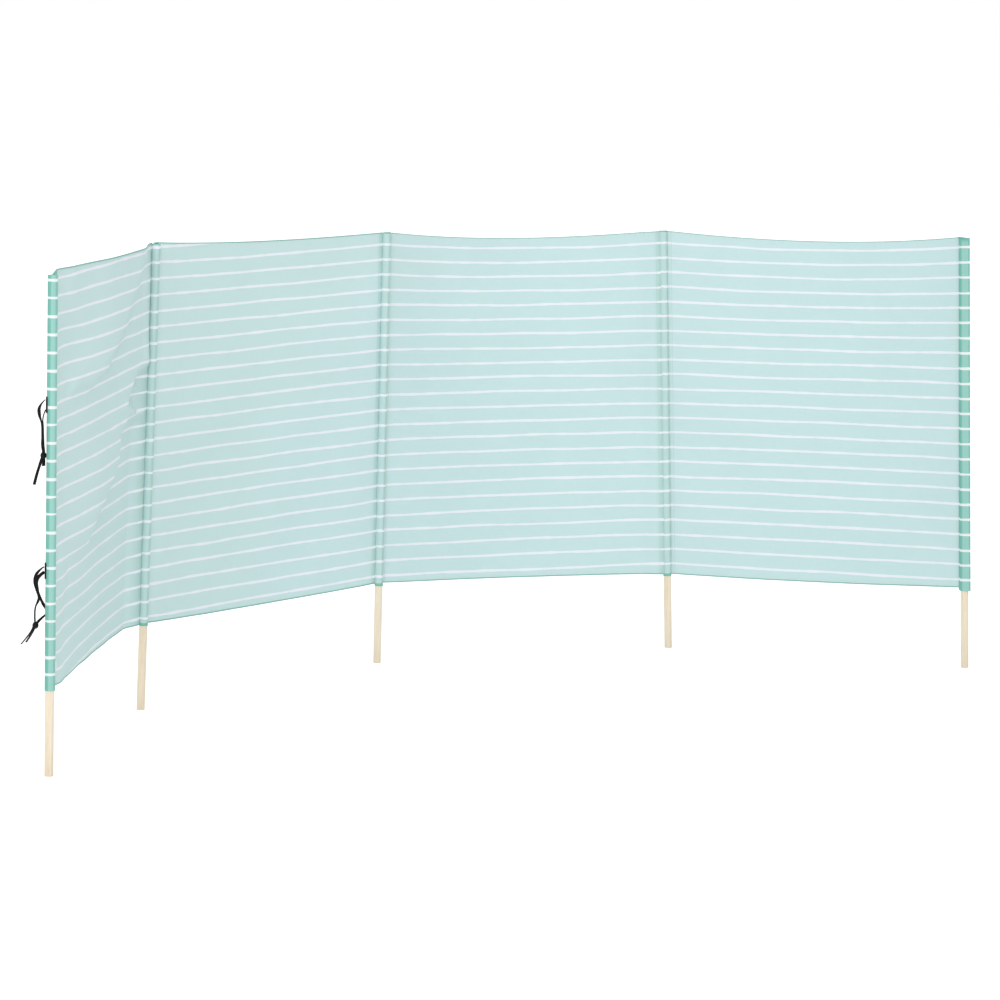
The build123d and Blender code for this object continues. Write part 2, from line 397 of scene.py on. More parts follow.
def knot(name):
    """Three turns of folded tape round a core, melted into one lump."""
    low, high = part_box(name)
    middle = (Vector(low) + Vector(high)) / 2
    size = Vector(high) - Vector(low)
    bpy.ops.object.select_all(action="DESELECT")
    bpy.ops.mesh.primitive_uv_sphere_add(segments=32, ring_count=16, radius=0.5)
    lump = bpy.context.object
    lump.data.transform(Matrix.Diagonal((*KNOT_CORE, 1.0)))
    turns = [lump]
    for tilt, turn, shift in KNOT_TURNS:
        bpy.ops.mesh.primitive_torus_add(major_segments=48, minor_segments=14,
                                         major_radius=TURN_RADIUS, minor_radius=TURN_SECTION)
        ring = bpy.context.object
        ring.data.transform(
            Matrix.Translation((0.0, shift, 0.0)) @ Matrix.Rotation(radians(turn), 4, "X")
            @ Matrix.Rotation(radians(tilt), 4, "Y") @ Matrix.Diagonal((*TURN_STRETCH, 1.0)))
        turns.append(ring)
    choose(lump)
    for part in turns:
        part.select_set(True)
    bpy.ops.object.join()
    lump.name = lump.data.name = name + "_tape"
    melt = lump.modifiers.new("melt", "REMESH")
    melt.mode = "VOXEL"
    melt.voxel_size = KNOT_VOXEL
    apply_all(lump)
    spread = [max(abs(v.co[axis]) for v in lump.data.vertices) for axis in range(3)]
    fit = [KNOT_BULK * 0.5 * size[axis] / spread[axis] for axis in range(3)]
    lump.data.transform(Matrix.Translation(middle) @ Matrix.Diagonal((*fit, 1.0)))
    return lump


def knot_finish():
    """The same black tape, crumpled where it is pulled tight."""
    finish, tree, shader = new_finish("knotted_tape", *TAPE_SURFACE)
    own = put(tree, "TexCoord").outputs["Object"]
    weave = use_group(tree, plain_weave, own, TAPE_YARN)
    folds = mottle(tree, own, CRUMPLES, 3.0)
    height = reckon(tree, "MULTIPLY_ADD", folds, 4.0, weave.outputs["Height"])
    finish_with(tree, shader, tint(tree, folds, TAPE_BLACK, TAPE_WORN), height, TAPE_RELIEF)
    return finish


knotted_tape = knot_finish()
for tie in ("upper_tie", "lower_tie"):
    lump = knot(tie + "_knot")
    lump.data.materials.append(knotted_tape)
    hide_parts(tie + "_knot")
    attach(lump, body_of["pole_1"])
    for end in ("long", "short"):
        piece, line, reach = tapes[f"{tie}_{end}"]
        tuple(line[0])
        [tuple(point) for point in line]


# CLOTH: THE PRINT
# A light plain-woven cloth, printed on one side in green with thin white stripes brushed by hand. Its
# other side, which faces whoever shelters, is the pale reverse, where the print shows through.
STRIPE_PITCH = 0.049
STRIPE_WAVER = 0.0026         # how far a stripe strays up or down
STRIPE_HALVES = (0.0025, 0.0051)              # half of a stripe's breadth, where thin and where full
STRIPE_RAGGED = 0.0022        # how far the bristles leave its edge uneven
STRIPE_FADE = 0.0012          # how soft that edge is
BRISTLES = (30.0, 1500.0, 0.0)                # in a metre, along a stripe and across it
STITCH = 0.0032               # from one stitch to the next
THREAD_FADE = (0.0006, 0.0002)                # from beside the thread to on it
YARN = 0.00055
CLOTH_RELIEF = 0.00006
CLOTH_SURFACE = (0.82, 0.12)  # how rough it is and its sheen
CLOUDS = 5.0                  # lighter and darker patches in a metre
POCKET_ROW = 0.0125           # from a seam to the row of stitches that makes the pocket flat
PRINT_GREEN = shade(147, 198, 188)
# The print's green with painted shade, mixed in by the deep note
PRINT_SHADED = shade(113, 179, 167)
PRINT_WHITE = shade(228, 234, 234)
REVERSE_PALE = shade(196, 221, 221)
# The reverse's pale with painted shade, mixed in by the deep note
REVERSE_SHADED = shade(168, 202, 196)
REVERSE_STRIPE = shade(230, 235, 241)
THREAD_GREEN = shade(120, 176, 166)


def stripes_group():
    """Brushed stripes a pitch apart: each wavers, swells and thins, and its edges are a bit ragged."""
    group, given, out = new_group("brushed_stripes", [("Cloth", "Vector"), ("Pitch", "Float")],
                                  [("Mask", "Float")])
    place = put(group, "SeparateXYZ", given.outputs["Cloth"]).outputs
    pitch = given.outputs["Pitch"]
    number = reckon(group, "ROUND", reckon(group, "DIVIDE", place[1], pitch))
    own_row = reckon(group, "MULTIPLY", number, 7.31)

    def brushed(times, detail, low, high):
        """A value that drifts so many times a metre along a stripe, in its own way on each."""
        where = put(group, "CombineXYZ", reckon(group, "MULTIPLY", place[0], times), own_row, 0.0)
        drift = mottle(group, where.outputs[0], 1.0, detail)
        return put(group, "MapRange", drift, 0.25, 0.75, low, high).outputs[0]

    waver = brushed(3.2, 1.0, -STRIPE_WAVER, STRIPE_WAVER)
    half = brushed(17.0, 2.0, *STRIPE_HALVES)
    ragged = streaks(group, given.outputs["Cloth"], BRISTLES, 2.0)
    middle = reckon(group, "MULTIPLY_ADD", number, pitch, waver)
    off = reckon(group, "ABSOLUTE", reckon(group, "SUBTRACT", place[1], middle))
    inside = reckon(group, "SUBTRACT", half, off)
    inside = reckon(group, "MULTIPLY_ADD", reckon(group, "SUBTRACT", ragged, 0.5), STRIPE_RAGGED, inside)
    mask = put(group, "MapRange", inside, -STRIPE_FADE, STRIPE_FADE, interpolation_type="SMOOTHSTEP")
    group.links.new(mask.outputs[0], out.inputs["Mask"])
    return group


def stitch_group():
    """A row of machine stitches: where the distance across it is small, dashes along it."""
    group, given, out = new_group("stitch_row", [("Across", "Float"), ("Along", "Float")],
                                  [("Mask", "Float")])
    in_row = put(group, "MapRange", reckon(group, "ABSOLUTE", given.outputs["Across"]),
                 *THREAD_FADE).outputs[0]
    step = reckon(group, "FRACT", reckon(group, "DIVIDE", given.outputs["Along"], STITCH))
    dash = put(group, "MapRange", reckon(group, "ABSOLUTE", reckon(group, "SUBTRACT", step, 0.5)),
               0.40, 0.30).outputs[0]
    group.links.new(reckon(group, "MULTIPLY", in_row, dash), out.inputs["Mask"])
    return group


brushed_stripes = stripes_group()
stitch_row = stitch_group()


def cloth_finish(name, ground, deep, stripe):
    """Striped cloth, with a row of stitches at its distance from a seam, which is the seam note. By the
    deep note, its ground gets painted shade where the cloth is double, where it stands clear of a pole and
    where it turns from the light."""
    finish, tree, shader = new_finish(name, *CLOTH_SURFACE)
    own = put(tree, "UVMap").outputs[0]
    place = put(tree, "SeparateXYZ", own).outputs
    mask = use_group(tree, brushed_stripes, own, STRIPE_PITCH).outputs[0]
    weave = use_group(tree, plain_weave, own, YARN)
    seam = put(tree, "Attribute", attribute_name="seam").outputs["Fac"]
    stitches = use_group(tree, stitch_row, reckon(tree, "SUBTRACT", seam, POCKET_ROW), place[1]).outputs[0]
    # The deep note: how much painted shade the cloth's ground gets
    painted_shade = put(tree, "Attribute", attribute_name="deep").outputs["Fac"]
    colour = tint(tree, mask, tint(tree, painted_shade, ground, deep), stripe)
    colour = tint(tree, reckon(tree, "MULTIPLY", stitches, 0.5), colour, THREAD_GREEN)
    cloudy = reckon(tree, "MULTIPLY_ADD", mottle(tree, own, CLOUDS, 3.0), 0.05, 0.925)
    uneven = reckon(tree, "MULTIPLY_ADD", weave.outputs["Slub"], 0.10, cloudy)
    toned = put(tree, "VectorMath", colour, operation="SCALE")
    tree.links.new(uneven, toned.inputs["Scale"])
    height = reckon(tree, "MULTIPLY_ADD", stitches, -3.0, weave.outputs["Height"])
    finish_with(tree, shader, toned.outputs[0], height, CLOTH_RELIEF)
    return finish


cloth_reverse = cloth_finish("cloth_reverse", REVERSE_PALE, REVERSE_SHADED, REVERSE_STRIPE)
cloth_print = cloth_finish("cloth_print", PRINT_GREEN, PRINT_SHADED, PRINT_WHITE)


# CLOTH: THE FOUR BAYS
# One strip of cloth runs the whole length and is sewn to the poles' sleeves, so that it makes four
# bays. The wind side is printed. The cloth bows away from the sheltered side between the poles.
SLEEVE_DROPS = [0.007, 0.004, 0.008, 0.006, 0.010]    # sleeves' open ends below the cloth's edge
CLOTH_RISES = [0.013, 0.005, 0.003, 0.003, 0.006]     # cloth's upper edge above the sleeves' tops
TOP_SAGS = [0.004, 0.014, 0.030, 0.033]               # of the edges, in the middle of each bay
FOOT_SAGS = [0.010, 0.017, 0.014, 0.024]
BAY_BOWS = [(0.055, 0.030), (0.060, 0.060), (0.110, 0.170), (0.110, 0.150)]
BOW_HEIGHTS = (0.139, 1.5218)                         # where those bows are taken, foot and top
LONG_RIPPLE, SHORT_RIPPLE = 0.0050, 0.0016            # how deep each kind is
RIPPLE_FREE = (0.02, 0.12)    # from a pole to where the ripples begin, and to where they are full
PRINT_STEP = 1.1              # how much further along the print each pole is than the one before
FIRST_STRIPES = [1.3654, 1.4090, 1.4213, 1.4114, 1.4145]      # their heights beside each pole
LAST_STRIPES = [0.2357, 0.2857, 0.2882, 0.2873, 0.2872]
STRIPE_STEPS = 23             # from the first stripe to the last
# How far the stripes sag in the middle of each bay, at its top, half way down and at its foot
STRIPE_SAGS = [(0.0, 0.003, 0.003), (0.009, 0.007, 0.013), (0.028, 0.013, 0.016), (0.029, 0.013, 0.018)]
STRIPE_LIFTS = [0.0, 0.006, 0.005, 0.004, 0.004]      # half way down beside each pole
# Outlines on the first bay, as distances from its left pole and heights: where it is pushed in to the
# sheltered side, and where the wind has bellied it out. Both run on past its edges. Each pair after
# them has a value near the left pole and one well away from it, and the reach is between those two.
HOLLOW = [(0.07, 1.60), (0.09, 1.31), (0.25, 1.14), (0.17, 1.08), (0.17, 1.045), (0.28, 1.035),
          (0.46, 1.085), (0.61, 1.175), (0.66, 1.235), (0.71, 1.285), (0.77, 1.37), (0.84, 1.60)]
BELLY = [(0.10, -0.20), (0.12, 0.40), (0.19, 0.565), (0.38, 0.60), (0.51, 0.68), (0.62, 0.755),
         (0.655, 0.80), (0.665, 0.86), (0.72, 0.895), (0.86, 0.912), (0.73, 0.965), (0.79, 1.02),
         (0.875, 1.06), (0.90, 1.30), (1.20, 1.30), (1.20, -0.20)]
FIRST_HANG = 0.007            # how far it hangs off in any case
HOLLOW_DEPTHS, HOLLOW_REACH, HOLLOW_SOFT = (0.017, 0.032), (0.22, 0.46), 0.032
BELLY_DEPTHS, BELLY_REACH, BELLY_SOFTS = (0.019, 0.034), (0.25, 0.60), (0.064, 0.028)
TOP_SOFTER, TOP_REACH = 0.045, (1.04, 1.24)           # how much softer both are at the top
FIRST_FREE = (0.020, 0.090)   # from its left pole to where it hangs off at all, and in full
# Each small dent: its middle and its reach, along and up, and how deep it is
SMALL_DENTS = [((0.14, 1.19), (0.07, 0.07), -0.008), ((0.13, 0.88), (0.06, 0.14), -0.006),
               ((0.44, 0.77), (0.13, 0.11), 0.009), ((0.27, 0.65), (0.10, 0.06), 0.006),
               ((0.40, 1.20), (0.12, 0.06), 0.006), ((0.15, 0.27), (0.12, 0.15), 0.020),
               ((0.30, 0.54), (0.25, 0.10), 0.008)]
SLEEVE_SEAMS = [0.034, 0.0215]        # from the end poles' axes to the seams of their sleeves
TUCK = 0.004                  # how far the cloth goes in between the two layers of an end sleeve
SEAM_RADIUS = 0.0138          # from an inner pole's axis to where a bay's cloth is sewn on
SEAM_EASE = 0.07              # how far from a seam the cloth is on its way to it
START_SEAM = radians(45.0)    # how far round to the wind side a bay's left seam is
END_SEAMS = [radians(45.0), radians(30.0), radians(-25.0)]     # the same for its right seam
# How much painted shade each bay's cloth gets at its right seam, where it turns in to the sleeve, and how
# far from there that reaches
SHADE_AT_SEAMS = [(0.9, 0.080), (1.0, 0.028), (1.0, 0.026), (0.4, 0.020)]
CLOTH_THICKNESS = 0.0006
CLOTH_COLUMNS, CLOTH_ROWS = 128, 144
EDGE_TUCK = 0.0012            # from the fold of a hem to the cloth's own edge inside it
MID_HEIGHT = 0.8              # where a bay's breadth and its way are taken

sleeve_tops = [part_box(f"sleeve_{p + 1}")[1][2] - tilt_rise(p, SLEEVE_SURFACE) for p in POLES]
sleeve_ends = [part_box(f"sleeve_{p + 1}")[0][2] + tilt_rise(p, SLEEVE_SURFACE) for p in POLES]
cloth_tops = [top + rise for top, rise in zip(sleeve_tops, CLOTH_RISES)]
cloth_feet = [end + drop for end, drop in zip(sleeve_ends, SLEEVE_DROPS)]


def mix(low, high, share):
    return low + (high - low) * share


def upper_edge(bay, share):
    return mix(cloth_tops[bay], cloth_tops[bay + 1], share) - 4.0 * TOP_SAGS[bay] * share * (1.0 - share)


def lower_edge(bay, share):
    return mix(cloth_feet[bay], cloth_feet[bay + 1], share) - 4.0 * FOOT_SAGS[bay] * share * (1.0 - share)


def pushed(outline, soft, along, height):
    """1 well inside an outline drawn on the cloth, 0 well outside it, with a soft edge between."""
    nearest, within = 1e9, False
    for (x0, y0), (x1, y1) in zip(outline, outline[1:] + outline[:1]):
        run, rise = x1 - x0, y1 - y0
        share = min(max(((along - x0) * run + (height - y0) * rise) / (run * run + rise * rise), 0.0), 1.0)
        nearest = min(nearest, hypot(along - x0 - share * run, height - y0 - share * rise))
        if (y0 > height) != (y1 > height) and along < x0 + (height - y0) / rise * run:
            within = not within
    return smooth(-soft, soft, nearest if within else -nearest)


def dent(middle, reach, depth, along, height):
    """A shallow rounded dent, or a bump where the depth is negative."""
    return -depth * exp(-((along - middle[0]) / reach[0]) ** 2 - ((height - middle[1]) / reach[1]) ** 2)


def first_bay_hang(along, height):
    """The first bay isn't stretched: it is pushed in at its upper left, and bellies out to the wind
    side at its lower right, with slanting creases between."""
    softer = TOP_SOFTER * smooth(*TOP_REACH, height)
    away = smooth(*BELLY_REACH, along)
    hollow = pushed(HOLLOW, HOLLOW_SOFT + softer, along, height)
    belly = pushed(BELLY, mix(*BELLY_SOFTS, away) + softer, along, height)
    hang = FIRST_HANG - mix(*HOLLOW_DEPTHS, smooth(*HOLLOW_REACH, along)) * hollow
    hang += mix(*BELLY_DEPTHS, away) * belly
    for middle, reach, depth in SMALL_DENTS:
        hang += dent(middle, reach, depth, along, height)
    return hang * smooth(*FIRST_FREE, along)


def hang_off(bay, along, span, height):
    """How far the cloth stands off the straight line between its poles, towards the wind side."""
    if bay == BAYS[0]:
        return first_bay_hang(along, height)
    foot_bow, top_bow = BAY_BOWS[bay]
    bow = mix(foot_bow, top_bow, (height - BOW_HEIGHTS[0]) / (BOW_HEIGHTS[1] - BOW_HEIGHTS[0]))
    radius = bow / 2 + span ** 2 / (8 * bow)
    return sqrt(radius ** 2 - (along - span / 2) ** 2) - (radius - bow)


def ripples(bay, along, height):
    """Slack in the cloth: long soft ripples, and faint short ones."""
    return (LONG_RIPPLE * noise.noise((along * 3.0, height * 2.0, 3.7 * bay))
            + SHORT_RIPPLE * noise.noise((along * 11.0, height * 6.0, 9.1 + bay)))


def seam_shift(bay, away, angle, span, height, far):
    """What takes the cloth to its seam on a sleeve, by the distance from that pole's axis."""
    seam = SEAM_RADIUS * cos(angle)
    hang = hang_off(bay, span - seam if far else seam, span, height)
    return (SEAM_RADIUS * sin(angle) - hang) * smooth(seam + SEAM_EASE, seam, away)


def cloth_point(bay, share, height):
    """A point of a bay's cloth, at a share of the way between its poles' axes and at a height."""
    left, right = on_pole(bay, height), on_pole(bay + 1, height)
    chord = right - left
    span = chord.length
    out = Vector((-chord.y, chord.x, 0.0)).normalized()
    along = share * span
    off = hang_off(bay, along, span, height)
    free = smooth(*RIPPLE_FREE, along) * smooth(*RIPPLE_FREE, span - along)
    off += free * ripples(bay, along, height)
    if bay != BAYS[0]:
        off += seam_shift(bay, along, START_SEAM, span, height, False)
    if bay != BAYS[-1]:
        off += seam_shift(bay, span - along, END_SEAMS[bay], span, height, True)
    return left + chord * share + out * off


def cloth_outward(bay, share, height):
    """The way out of the cloth, to its wind side."""
    step = 0.002
    ahead = cloth_point(bay, share + step, height) - cloth_point(bay, share - step, height)
    up = cloth_point(bay, share, height + step) - cloth_point(bay, share, height - step)
    return up.cross(ahead).normalized()


def bay_ends(bay, spare=0.0):
    """The shares of the way at which a bay's cloth begins and ends, or a spare distance inside, and
    the whole way between its poles."""
    span = (on_pole(bay + 1, MID_HEIGHT) - on_pole(bay, MID_HEIGHT)).length
    start = SLEEVE_SEAMS[0] - TUCK if bay == BAYS[0] else SEAM_RADIUS * cos(START_SEAM)
    end = SLEEVE_SEAMS[1] - TUCK if bay == BAYS[-1] else SEAM_RADIUS * cos(END_SEAMS[bay])
    start, end = start + spare, end + spare
    return start / span, 1.0 - end / span, span


def stripe_place(bay, share, height):
    """How far down the print a point is, in metres: on it the stripes are straight and a pitch apart."""
    first = mix(FIRST_STRIPES[bay], FIRST_STRIPES[bay + 1], share)
    last = mix(LAST_STRIPES[bay], LAST_STRIPES[bay + 1], share)
    down = (first - height) / (first - last)
    top, middle, foot = STRIPE_SAGS[bay]
    sag = (top * (1.0 - down) * (1.0 - 2.0 * down) + 4.0 * middle * down * (1.0 - down)
           + foot * down * (2.0 * down - 1.0))
    lift = 4.0 * down * (1.0 - down) * mix(STRIPE_LIFTS[bay], STRIPE_LIFTS[bay + 1], share)
    moved = lift - 4.0 * share * (1.0 - share) * sag
    return STRIPE_PITCH * (1.0 + STRIPE_STEPS * (down + moved / (first - last)))


def bay_cloth(bay):
    start, end, span = bay_ends(bay)

    def place(across, up):
        share = mix(start, end, across)
        height = mix(lower_edge(bay, share) + EDGE_TUCK, upper_edge(bay, share) - EDGE_TUCK, up)
        seam = min(across, 1.0 - across) * (end - start) * span
        if (bay == BAYS[0] and across < 0.5) or (bay == BAYS[-1] and across > 0.5):
            seam += POCKET_ROW - TUCK
        to_end = (1.0 - across) * (end - start) * span
        # Painted shade, deepening towards the bay's right seam
        seam_shade, reach = SHADE_AT_SEAMS[bay]
        printed = (bay * PRINT_STEP + share * span, stripe_place(bay, share, height))
        return cloth_point(bay, share, height), printed, seam, seam_shade * smooth(reach, 0.0, to_end) ** 2

    cloth = lay_cloth(f"bay_{bay + 1}_cloth", CLOTH_COLUMNS, CLOTH_ROWS, place,
                      [cloth_reverse, cloth_print], ["seam", "deep"])
    return thicken(cloth, CLOTH_THICKNESS, back=1)


bays = [bay_cloth(bay) for bay in BAYS]


# CLOTH: HEMS
# The strip's upper and lower edges are folded once to the wind side and stitched down with one row.
# The fold rolls over the edge, so that a thin green line of the print shows on the sheltered side.
HEM_LEG = 0.012
LEG_STEPS = (0.66, 0.33)      # shares of the long leg at which it has more points
HEM_END = 0.0012              # how far a hem stops short of its bay's cloth
# What shows on the sheltered side of each bay's upper hem and of its lower one
HEM_FACES = {-1: [0.0030, 0.0022, 0.0012, 0.0012], 1: [0.0030, 0.0036, 0.0030, 0.0030]}
HEM_HALF = 0.0011             # from the cloth's middle to each leg
HEM_WALL = 0.0006             # a leg's thickness
HEM_ROW = 0.0095              # from the fold to the row of stitches
# The print's green, darker than the print with painted shade of the rolled fold, in two tones
HEM_SHADED_GREENS = shade(84, 146, 133), shade(122, 182, 168)
HEM_THREAD = shade(214, 236, 230)
HEM_WEAR = 60.0               # lighter and darker places in a metre


def hem_finish():
    """The print's green darkened with painted shade of the rolled fold, with a row of stitches at its
    distance from the fold, which is V on the UV map.
    """
    finish, tree, shader = new_finish("hem_print", *CLOTH_SURFACE)
    own = put(tree, "UVMap").outputs[0]
    place = put(tree, "SeparateXYZ", own).outputs
    weave = use_group(tree, plain_weave, own, YARN)
    stitches = use_group(tree, stitch_row, reckon(tree, "SUBTRACT", place[1], HEM_ROW), place[0]).outputs[0]
    worn = reckon(tree, "MULTIPLY_ADD", mottle(tree, own, HEM_WEAR, 2.0), 0.8, weave.outputs["Slub"])
    colour = tint(tree, worn, *HEM_SHADED_GREENS)
    colour = tint(tree, stitches, colour, HEM_THREAD)
    height = reckon(tree, "MULTIPLY_ADD", stitches, 3.0, weave.outputs["Height"])
    finish_with(tree, shader, colour, height, CLOTH_RELIEF)
    return finish


hem_print = hem_finish()


def hem_outline(face):
    """The hem's section: how deep each point lies from the fold and how far off the cloth, to the
    wind side where positive, from the end of the long leg round to that of the short one."""
    fold = [(HEM_HALF * (1.0 - sin(turn)), HEM_HALF * cos(turn))
            for turn in (radians(angle) for angle in range(0, 181, 30))]
    leg = [(step * HEM_LEG, HEM_HALF) for step in (1.0, *LEG_STEPS)]
    return [*leg, *fold, (face, -HEM_HALF)]


def hem(bay, name, edge, inward):
    """A hem along one edge of a bay. inward is -1 at the upper edge and 1 at the lower one."""
    outline = hem_outline(HEM_FACES[inward][bay])
    start, end, span = bay_ends(bay, HEM_END)

    def place(across, over):
        share = mix(start, end, across)
        deep, off = outline[round(over * (len(outline) - 1))]
        height = edge(bay, share) + inward * deep
        point = cloth_point(bay, share, height) + cloth_outward(bay, share, height) * off
        return point, (share * span, deep if off > 0 else -deep)

    piece = lay_cloth(f"{name}_{bay + 1}_fold", CLOTH_COLUMNS, len(outline) - 1, place, [hem_print])
    if inward > 0:
        edit(piece)
        bpy.ops.mesh.flip_normals()
        bpy.ops.object.mode_set(mode="OBJECT")
    return thicken(piece, HEM_WALL)


for bay, cloth in enumerate(bays):
    hems = [hem(bay, "top_hem", upper_edge, -1), hem(bay, "bottom_hem", lower_edge, 1)]
    for piece, node in zip(hems, ("top_hem", "bottom_hem")):
        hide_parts(f"{node}_{bay + 1}")
        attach(piece, body_of[f"panel_{bay + 1}"])
    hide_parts(f"panel_{bay + 1}")
    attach(cloth, body_of[f"panel_{bay + 1}"])
    flat_height = upper_edge(bay, 0.5) - lower_edge(bay, 0.5)
    start, end, span = bay_ends(bay)


# SLEEVES
# Each pole stands in a sleeve of the same cloth, sewn shut at the top and open at the bottom, where
# it is turned up and stitched. The two end sleeves wrap the strip's own ends round their poles, print
# outwards. The three between are pockets, pale towards the shelter and printed on the wind side.
WALL = 0.0006                 # the thickness of a sleeve's cloth
LOOSE = 0.0137                # the sleeve's usual outer radius
SLEEVE_RIPPLE, END_RIPPLE = 0.0003, 0.0004            # how uneven an inner one is, and an end one
ROOF_RISE = 0.0012            # how far a shut end is domed below its seam
SHUT_LIP = 0.001              # how far the shut end's seam stands up at the least
SHUT_HALF = 0.0008            # from the middle of the shut end's seam to each of its layers
SHUT_RIM = 0.0001             # the same at its very edge
WALL_ROWS, ROOF_ROWS, SHUT_ROWS = 124, 4, 3
POCKET_COLUMNS, END_COLUMNS = 48, 96
TURN_UP = 0.0065              # how much of the turned-up lower end shows
TURN_EASE, TURN_STEP = 0.002, 0.0003          # how soon it ends, and how far it stands out
POCKET_SHADE = 0.4             # painted shade on a pocket's left, rising to full towards its right
WEB = 0.0040                  # how far an end sleeve's two layers lie flat together at its seam
LAYER_HALF = 0.0009           # from the middle between those layers to each of them
FOLD_REACH = 0.0235           # from the last pole's axis to the fold that stands out beyond it
FOLD_RADIUS = 0.0012
SLACK, SLACK_HEIGHTS = 0.10, (1.1, 0.4)       # how much further the first sleeve stands off, going down
END_ROW = 0.0035              # from an end sleeve's edge to its row of stitches
# Where the end sleeves get painted shade, each from where that begins to where it is full: on the first
# one, round from its outer side to either hand and down from its top; on the last one, from its seam,
# from its fold and down from its top.
FIRST_ROUND, FIRST_INNER, FIRST_TOP = (-0.0013, 0.0017), (0.0125, 0.0140), (0.014, 0.009)
LAST_SEAM, LAST_FOLD, LAST_TOP = (0.0320, 0.0255), (0.0050, 0.0025), (0.012, 0.007)


def pole_sides(pole, ahead):
    """Directions square to a leaning pole: along the strip, and out to its wind side."""
    axis = pole_lines[pole][1]
    along = (ahead - axis * ahead.dot(axis)).normalized()
    return along, axis.cross(along)


def bay_ahead(bay):
    """The level way along a bay, from its left pole to its right one."""
    chord = on_pole(bay + 1, MID_HEIGHT) - on_pole(bay, MID_HEIGHT)
    return Vector((chord.x, chord.y, 0.0)).normalized()


def sleeve_cloth(pole, columns, along, out, outline, top_line, finishes, finish_of=None):
    """A sleeve. outline() gives a point of its section at a share of the way round and a height: its
    distances along the strip and out to the wind side, its place on the cloth and its two notes."""
    rows = WALL_ROWS + ROOF_ROWS + SHUT_ROWS
    bay = min(pole, BAYS[-1])
    share = 0.0 if pole == bay else 1.0
    foot = sleeve_ends[pole]
    roof = sleeve_tops[pole] - ROOF_RISE

    def place(around, up):
        row = round(up * rows)
        height = mix(foot, roof, min(row / WALL_ROWS, 1.0))
        x, y, u, *notes = outline(around, height)
        if row > WALL_ROWS:
            shut = sleeve_tops[pole]
            over = min((row - WALL_ROWS) / ROOF_ROWS, 1.0)
            side = (y > 1e-7) - (y < -1e-7)
            flat = side * min(abs(y), SHUT_HALF)
            y = mix(flat, y, cos(over * pi / 2))
            height += ROOF_RISE * sin(over * pi / 2)
            if row > WALL_ROWS + ROOF_ROWS:
                rise = (row - WALL_ROWS - ROOF_ROWS) / SHUT_ROWS
                height = mix(shut, max(top_line(x), shut + SHUT_LIP), rise)
                y = flat if rise < 1.0 else side * SHUT_RIM
        point = on_pole(pole, height) + along * x + out * y
        return point, (u, stripe_place(bay, share, height)), *notes

    piece = lay_cloth(f"sleeve_{pole + 1}_cloth", columns, rows, place, finishes, ["seam", "deep"], True,
                      finish_of)
    return thicken(piece, WALL, -1.0)


def pocket(pole):
    """The sleeve of an inner pole: a round pocket, which folds flat to a seam at its top."""
    along, out = pole_sides(pole, (bay_ahead(pole - 1) + bay_ahead(pole)).normalized())
    turn = bay_ahead(pole - 1).angle(bay_ahead(pole))
    printed = pi / 2 + turn / 2 - START_SEAM

    def outline(around, height):
        angle = 2.0 * pi * around - pi / 2
        radius = LOOSE + SLEEVE_RIPPLE * noise.noise((cos(angle) * 2, sin(angle) * 2, height * 14))
        turned_up = smooth(sleeve_ends[pole] + TURN_UP + TURN_EASE, sleeve_ends[pole] + TURN_UP, height)
        radius += TURN_STEP * turned_up
        to_right = (along * cos(angle) + out * sin(angle)).x
        # Painted shade: full on the side of the pocket that faces right and on its turned-up end
        deep = max(mix(POCKET_SHADE, 1.0, smooth(0.40, 0.85, to_right)), turned_up)
        return radius * cos(angle), radius * sin(angle), pole * PRINT_STEP + radius * angle, 1.0, deep

    def finish_of(around, up):
        """1, the print, on the wind side, on the turned-up end and on the shut one; 0 elsewhere."""
        on_wind_side = abs(2.0 * pi * around - pi) < printed
        turned_up = up * (sleeve_tops[pole] - sleeve_ends[pole]) < TURN_UP
        shut = up > WALL_ROWS / (WALL_ROWS + ROOF_ROWS + SHUT_ROWS)
        return int(on_wind_side or turned_up or shut)

    piece = sleeve_cloth(pole, POCKET_COLUMNS, along, out, outline, lambda x: cloth_tops[pole],
                         [cloth_reverse, cloth_print], finish_of)
    return piece, 2.0 * pi * LOOSE


